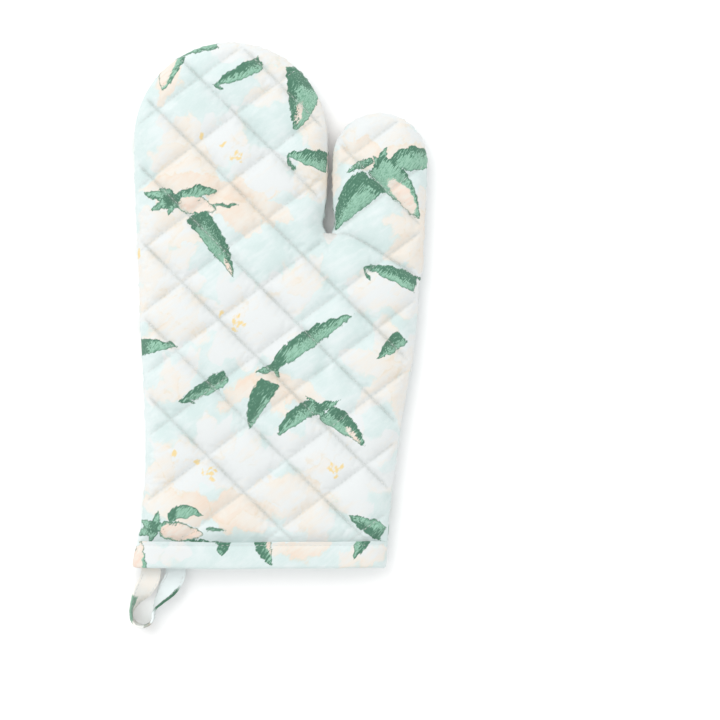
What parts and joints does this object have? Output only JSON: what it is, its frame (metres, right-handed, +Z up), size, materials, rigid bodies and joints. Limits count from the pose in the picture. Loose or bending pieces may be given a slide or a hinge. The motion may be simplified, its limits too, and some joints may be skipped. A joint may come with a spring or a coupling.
{
  "type": "oven mitt",
  "caption": "Quilted oven mitt with floral print: padded hand and thumb pockets, bound cuff and hanging loop.",
  "frame": {"origin": "middle of the underside of the bounding box: on the surface that the mitt lies on, half way along its length and width", "axes": "+Y from the cuff towards the fingertips, +X towards the thumb, +Z up out of the face that is seen"},
  "size_m": [0.1876, 0.37, 0.0238],
  "materials": {
    "printed_cotton": "matte twill, printed",
    "wadding": "soft white wadding",
    "lining_cotton": "matte plain weave",
    "sewing_thread": "twisted sewing thread",
    "overlock_thread": "overlocked raw edge",
    "loop_tape": "matte twill, printed, folded"
  },
  "bodies": {
    "palm": {"palm_front_outer": "printed_cotton", "palm_front_wadding": "wadding", "palm_front_lining": "lining_cotton", "palm_back_outer": "printed_cotton", "palm_back_wadding": "wadding", "palm_back_lining": "lining_cotton", "palm_seam_overlock": "overlock_thread", "palm_front_quilting": "sewing_thread", "palm_back_quilting": "sewing_thread", "cuff_binding": "printed_cotton", "binding_topstitch": "sewing_thread", "loop_end_tabs": "loop_tape", "loop_bartack": "sewing_thread"},
    "fingers": {"fingers_front_outer": "printed_cotton", "fingers_front_wadding": "wadding", "fingers_front_lining": "lining_cotton", "fingers_back_outer": "printed_cotton", "fingers_back_wadding": "wadding", "fingers_back_lining": "lining_cotton", "fingers_seam_overlock": "overlock_thread", "fingers_front_quilting": "sewing_thread", "fingers_back_quilting": "sewing_thread"},
    "thumb": {"thumb_front_outer": "printed_cotton", "thumb_front_wadding": "wadding", "thumb_front_lining": "lining_cotton", "thumb_back_outer": "printed_cotton", "thumb_back_wadding": "wadding", "thumb_back_lining": "lining_cotton", "thumb_seam_overlock": "overlock_thread", "thumb_front_quilting": "sewing_thread", "thumb_back_quilting": "sewing_thread"},
    "loop": {"hanging_loop": "loop_tape"}
  },
  "joints": [
    {"name": "fingers_fold", "type": "hinge", "parent": "palm", "child": "fingers", "pos_m": [-0.02984, 0.077, 0.012], "axis": [1, 0, 0], "range_deg": [0, 70]},
    {"name": "thumb_fold", "type": "hinge", "parent": "palm", "child": "thumb", "pos_m": [0.06376, 0.077, 0.012], "axis": [1, 0, 0], "range_deg": [0, 70]},
    {"name": "loop_lift", "type": "hinge", "parent": "palm", "child": "loop", "pos_m": [-0.07266, -0.149, 0.00726], "axis": [-1, 0, 0], "range_deg": [0, 75]}
  ]
}
